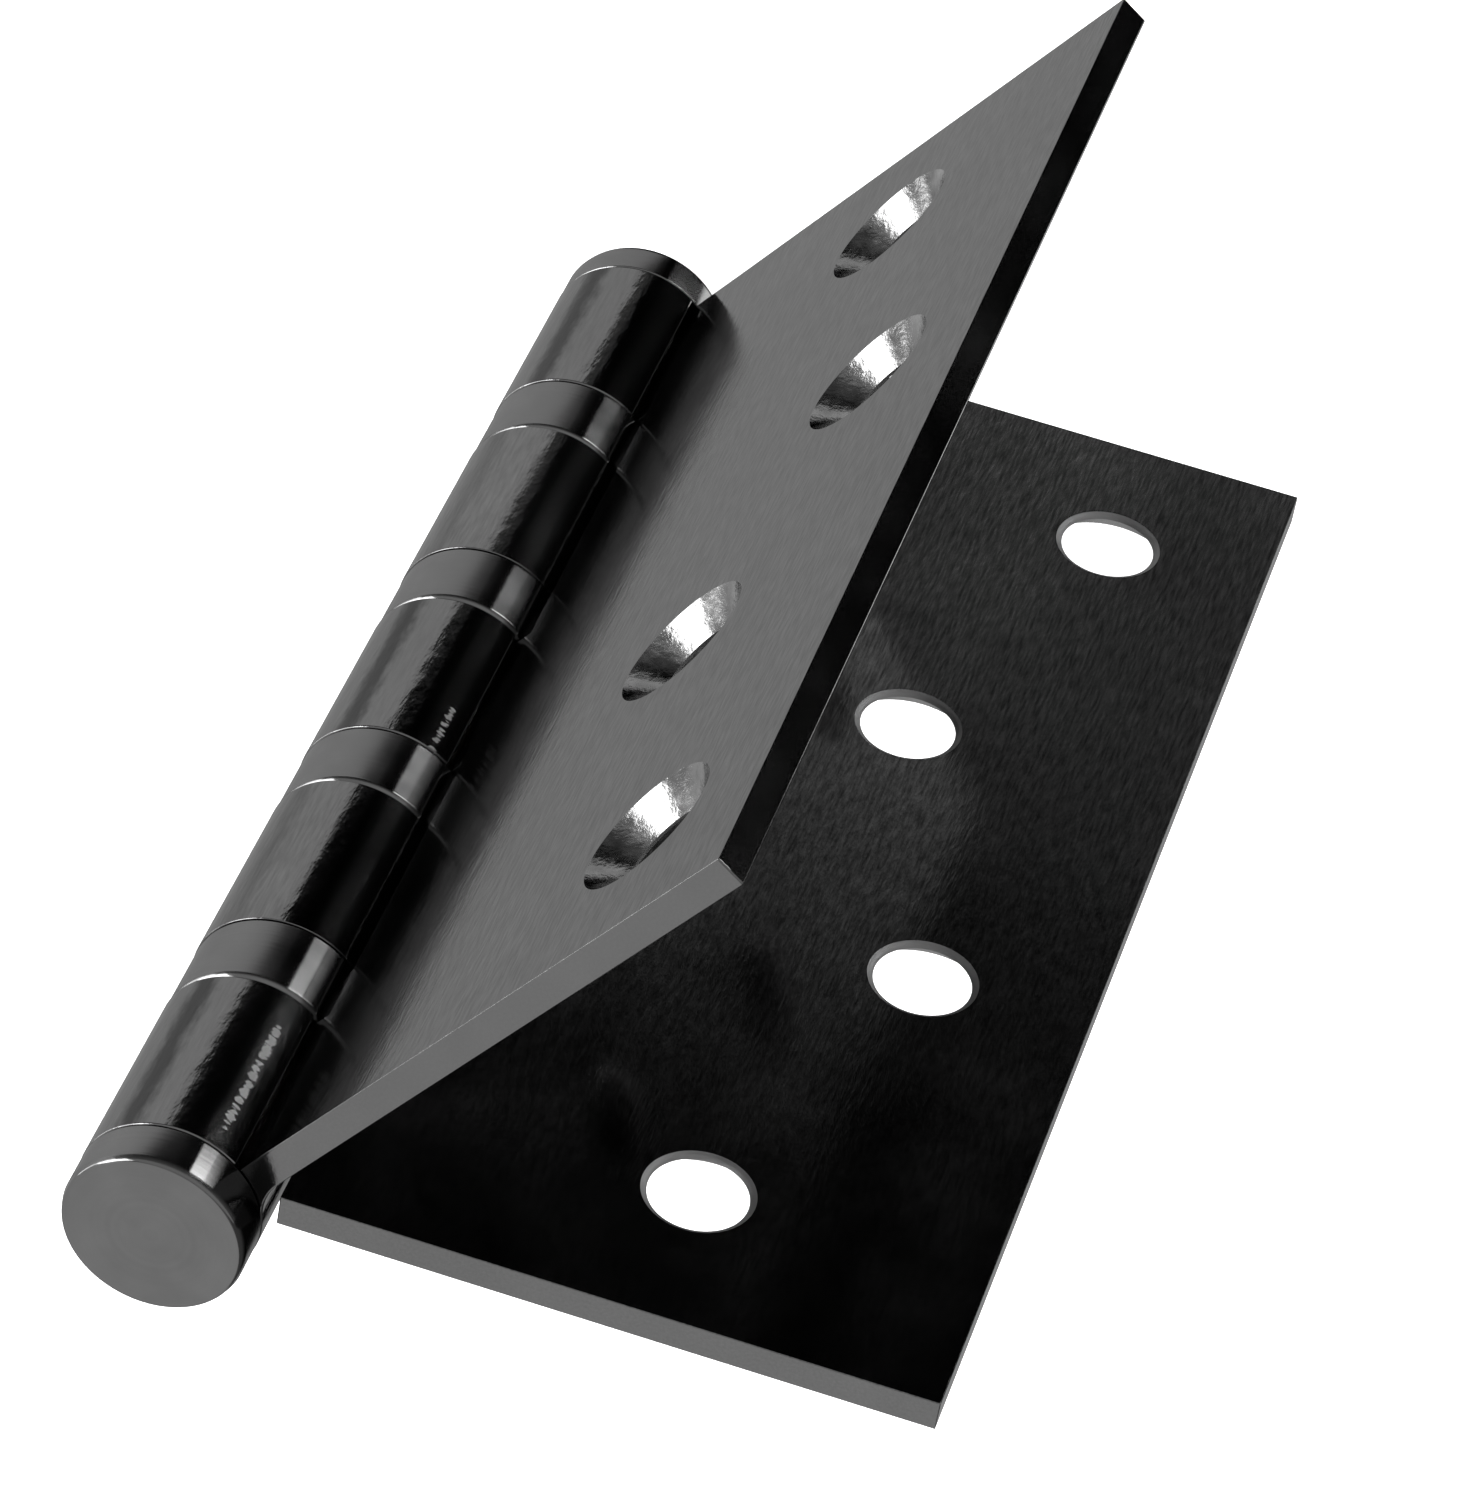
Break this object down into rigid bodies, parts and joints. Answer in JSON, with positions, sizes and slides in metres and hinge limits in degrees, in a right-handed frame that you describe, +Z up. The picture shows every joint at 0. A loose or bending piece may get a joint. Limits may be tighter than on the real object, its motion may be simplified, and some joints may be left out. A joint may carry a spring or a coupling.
{
  "type": "ball-bearing butt hinge",
  "caption": "Full-mortise butt hinge: square leaves with staggered countersunk screw holes turn on a pin with flat button tips and a bearing ring in each gap between knuckles.",
  "frame": {"origin": "middle of the jamb leaf's back face, at mid height between its two columns of holes", "axes": "+Z up along the pin towards the removable top tip, +Y out of the jamb leaf's back face into the jamb, +X from the origin towards the pin"},
  "size_m": [0.0641, 0.0526, 0.1217],
  "materials": {
    "leaf_steel": "black satin, finely brushed along the barrel",
    "tip_steel": "black, turned flat face and polished rim",
    "ring_steel": "polished black",
    "bearing_steel": "ground and polished"
  },
  "bodies": {
    "jamb_leaf": {"jamb_leaf": "leaf_steel", "bottom_tip": "tip_steel", "bearing_1_upper_race": "bearing_steel", "bearing_2_cup": "ring_steel", "bearing_2_lower_race": "bearing_steel", "bearing_3_upper_race": "bearing_steel", "bearing_4_cup": "ring_steel", "bearing_4_lower_race": "bearing_steel"},
    "door_leaf": {"door_leaf": "leaf_steel", "bearing_1_cup": "ring_steel", "bearing_1_lower_race": "bearing_steel", "bearing_2_upper_race": "bearing_steel", "bearing_3_cup": "ring_steel", "bearing_3_lower_race": "bearing_steel", "bearing_4_upper_race": "bearing_steel"},
    "pin": {"pin": "bearing_steel", "top_tip": "tip_steel"},
    "balls_1": {"bearing_1_ball_ring": "bearing_steel"},
    "balls_2": {"bearing_2_ball_ring": "bearing_steel"},
    "balls_3": {"bearing_3_ball_ring": "bearing_steel"},
    "balls_4": {"bearing_4_ball_ring": "bearing_steel"}
  },
  "joints": [
    {"name": "leaf_hinge", "type": "hinge", "parent": "jamb_leaf", "child": "door_leaf", "pos_m": [0.03975, -0.00355, 0], "axis": [0, 0, -1], "range_deg": [-5, 306]},
    {"name": "pin_lift", "type": "slide", "parent": "jamb_leaf", "child": "pin", "axis": [0, 0, 1], "range_m": [0, 0.105]},
    {"name": "balls_1_roll", "type": "hinge", "parent": "jamb_leaf", "child": "balls_1", "pos_m": [0.03975, -0.00355, 0], "axis": [0, 0, -1], "range_deg": [-2.5, 153]},
    {"name": "balls_2_roll", "type": "hinge", "parent": "jamb_leaf", "child": "balls_2", "pos_m": [0.03975, -0.00355, 0], "axis": [0, 0, -1], "range_deg": [-2.5, 153]},
    {"name": "balls_3_roll", "type": "hinge", "parent": "jamb_leaf", "child": "balls_3", "pos_m": [0.03975, -0.00355, 0], "axis": [0, 0, -1], "range_deg": [-2.5, 153]},
    {"name": "balls_4_roll", "type": "hinge", "parent": "jamb_leaf", "child": "balls_4", "pos_m": [0.03975, -0.00355, 0], "axis": [0, 0, -1], "range_deg": [-2.5, 153]}
  ],
  "couplings": [
    {"joint": "balls_1_roll", "follows": "leaf_hinge", "ratio": 0.5},
    {"joint": "balls_2_roll", "follows": "leaf_hinge", "ratio": 0.5},
    {"joint": "balls_3_roll", "follows": "leaf_hinge", "ratio": 0.5},
    {"joint": "balls_4_roll", "follows": "leaf_hinge", "ratio": 0.5}
  ]
}
